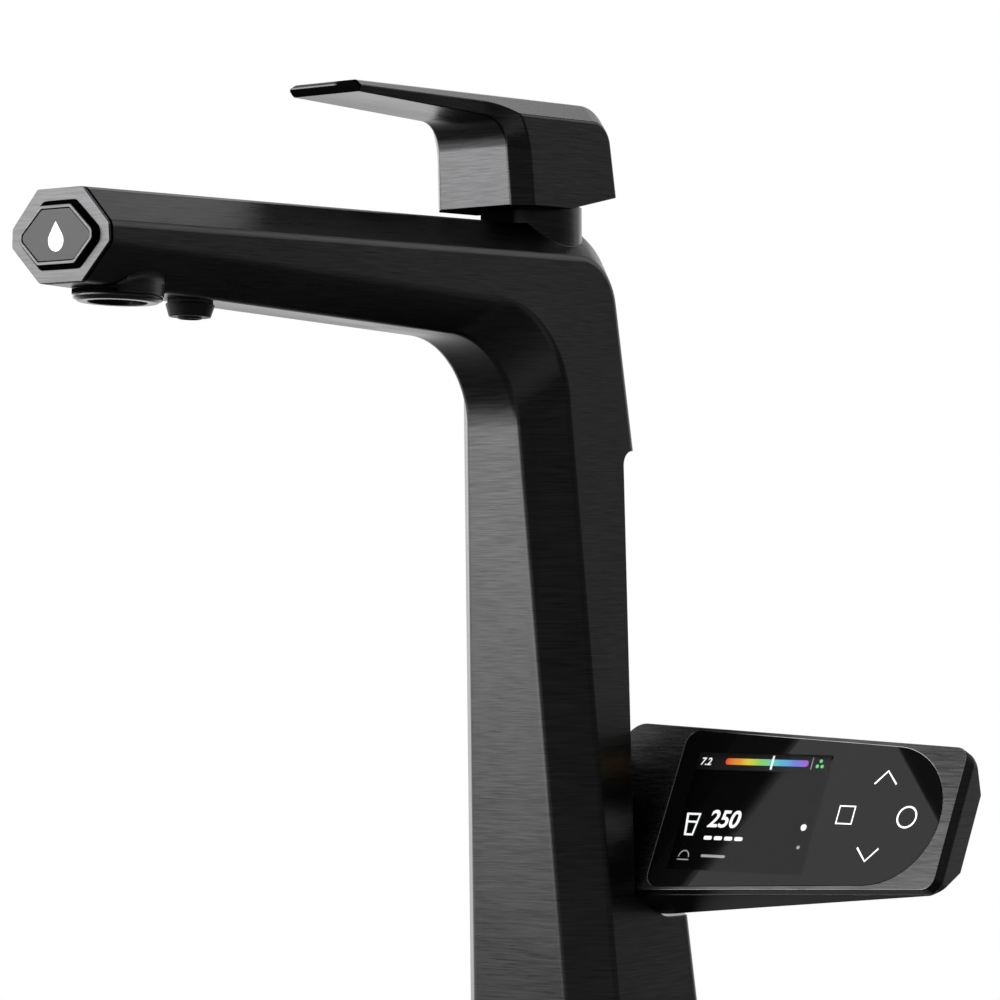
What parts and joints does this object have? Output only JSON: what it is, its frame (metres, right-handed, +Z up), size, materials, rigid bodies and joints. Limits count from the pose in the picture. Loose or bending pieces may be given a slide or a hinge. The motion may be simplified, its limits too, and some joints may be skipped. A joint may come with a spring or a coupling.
{
  "type": "water ionizer faucet",
  "caption": "Single-lever kitchen tap with a faceted column and spout, a second outlet for treated water, an end button and a tilted touch display.",
  "frame": {"origin": "on the deck, at the axis of the threaded shank, in the underside plane of the base gasket", "axes": "+Z up, the spout points along -Y, the display pod stands on the +X side"},
  "size_m": [0.1764, 0.2725, 0.4291],
  "materials": {
    "body_metal": "brushed black",
    "frame_metal": "brushed black",
    "lever_metal": "brushed black",
    "trim_black": "matte",
    "button_shell": "satin black",
    "button_face": "satin",
    "lit_white": "lit",
    "switch_plastic": "matte",
    "circuit_board": "satin",
    "steel": "satin",
    "seal_rubber": "matte",
    "outlet_metal": "satin black",
    "outlet_plastic": "matte",
    "tube_metal": "drawn",
    "tube_plastic": "satin",
    "ceramic": "polished",
    "cartridge_plastic": "satin",
    "brass": "machined",
    "bush_plastic": "satin",
    "rail_metal": "black anodised",
    "shoe_plastic": "matte",
    "pod_metal": "brushed black",
    "pod_plastic": "fine texture",
    "cover_glass": "polished",
    "screen": "polished"
  },
  "bodies": {
    "deck_mount": {"base_ring": "frame_metal", "base_gasket": "seal_rubber", "threaded_shank": "brass", "snap_ring": "steel", "clamp_gasket": "seal_rubber", "clamp_washer": "steel", "mounting_nut": "brass"},
    "faucet": {"faucet_body": "body_metal", "spout_end_frame": "frame_metal", "switch_board": "circuit_board", "switch_board_screws": "steel", "tact_switch": "switch_plastic", "button_spring": "steel", "aerator_collar": "outlet_metal", "aerator_screen": "outlet_plastic", "aerator_seal": "seal_rubber", "treated_water_nozzle": "outlet_plastic", "nozzle_seal": "seal_rubber", "mixed_water_tube": "tube_plastic", "treated_water_tube": "tube_plastic", "hot_riser": "tube_metal", "cold_riser": "tube_metal", "cartridge_seal": "seal_rubber", "cartridge_body": "cartridge_plastic", "cartridge_fixed_disc": "ceramic", "cartridge_nut": "brass", "neck_trim_ring": "trim_black", "swivel_bush": "bush_plastic", "guide_rail": "rail_metal", "rail_screws": "steel"},
    "button": {"button_rim": "button_shell", "button_lens": "button_face", "button_light_guide": "lit_white"},
    "cartridge_turn": {"cartridge_rotor": "cartridge_plastic", "cartridge_pivot_pin": "steel", "cartridge_moving_disc": "ceramic"},
    "lever": {"cartridge_stem": "brass", "lever_handle": "lever_metal", "lever_set_screw": "steel"},
    "display_pod": {"pod_shoe": "shoe_plastic", "pod_shoe_screws": "steel", "pod_friction_pad": "bush_plastic", "pod_frame": "pod_metal", "pod_glass": "cover_glass", "pod_gasket": "seal_rubber", "pod_rear_housing": "pod_plastic", "pod_housing_screws": "steel", "lcd_panel": "screen", "touch_board": "circuit_board"}
  },
  "joints": [
    {"name": "body_swivel", "type": "hinge", "parent": "deck_mount", "child": "faucet", "pos_m": [0, 0, 0], "axis": [0, 0, 1], "range_deg": [-60, 60]},
    {"name": "lever_turn", "type": "hinge", "parent": "faucet", "child": "cartridge_turn", "pos_m": [0, -0.0289, 0.3], "axis": [0, 0, 1], "range_deg": [-45, 45]},
    {"name": "lever_lift", "type": "hinge", "parent": "cartridge_turn", "child": "lever", "pos_m": [0, -0.0289, 0.3], "axis": [-1, 0, 0], "range_deg": [0, 18]},
    {"name": "button_press", "type": "slide", "parent": "faucet", "child": "button", "axis": [0, 1, 0], "range_m": [0, 0.0012], "stiffness_N_per_m": 1500, "springref_m": -0.0006, "deforming": ["button_spring"]},
    {"name": "pod_slide", "type": "slide", "parent": "faucet", "child": "display_pod", "axis": [0, 0.0269, 0.9996], "range_m": [0, 0.08]}
  ]
}
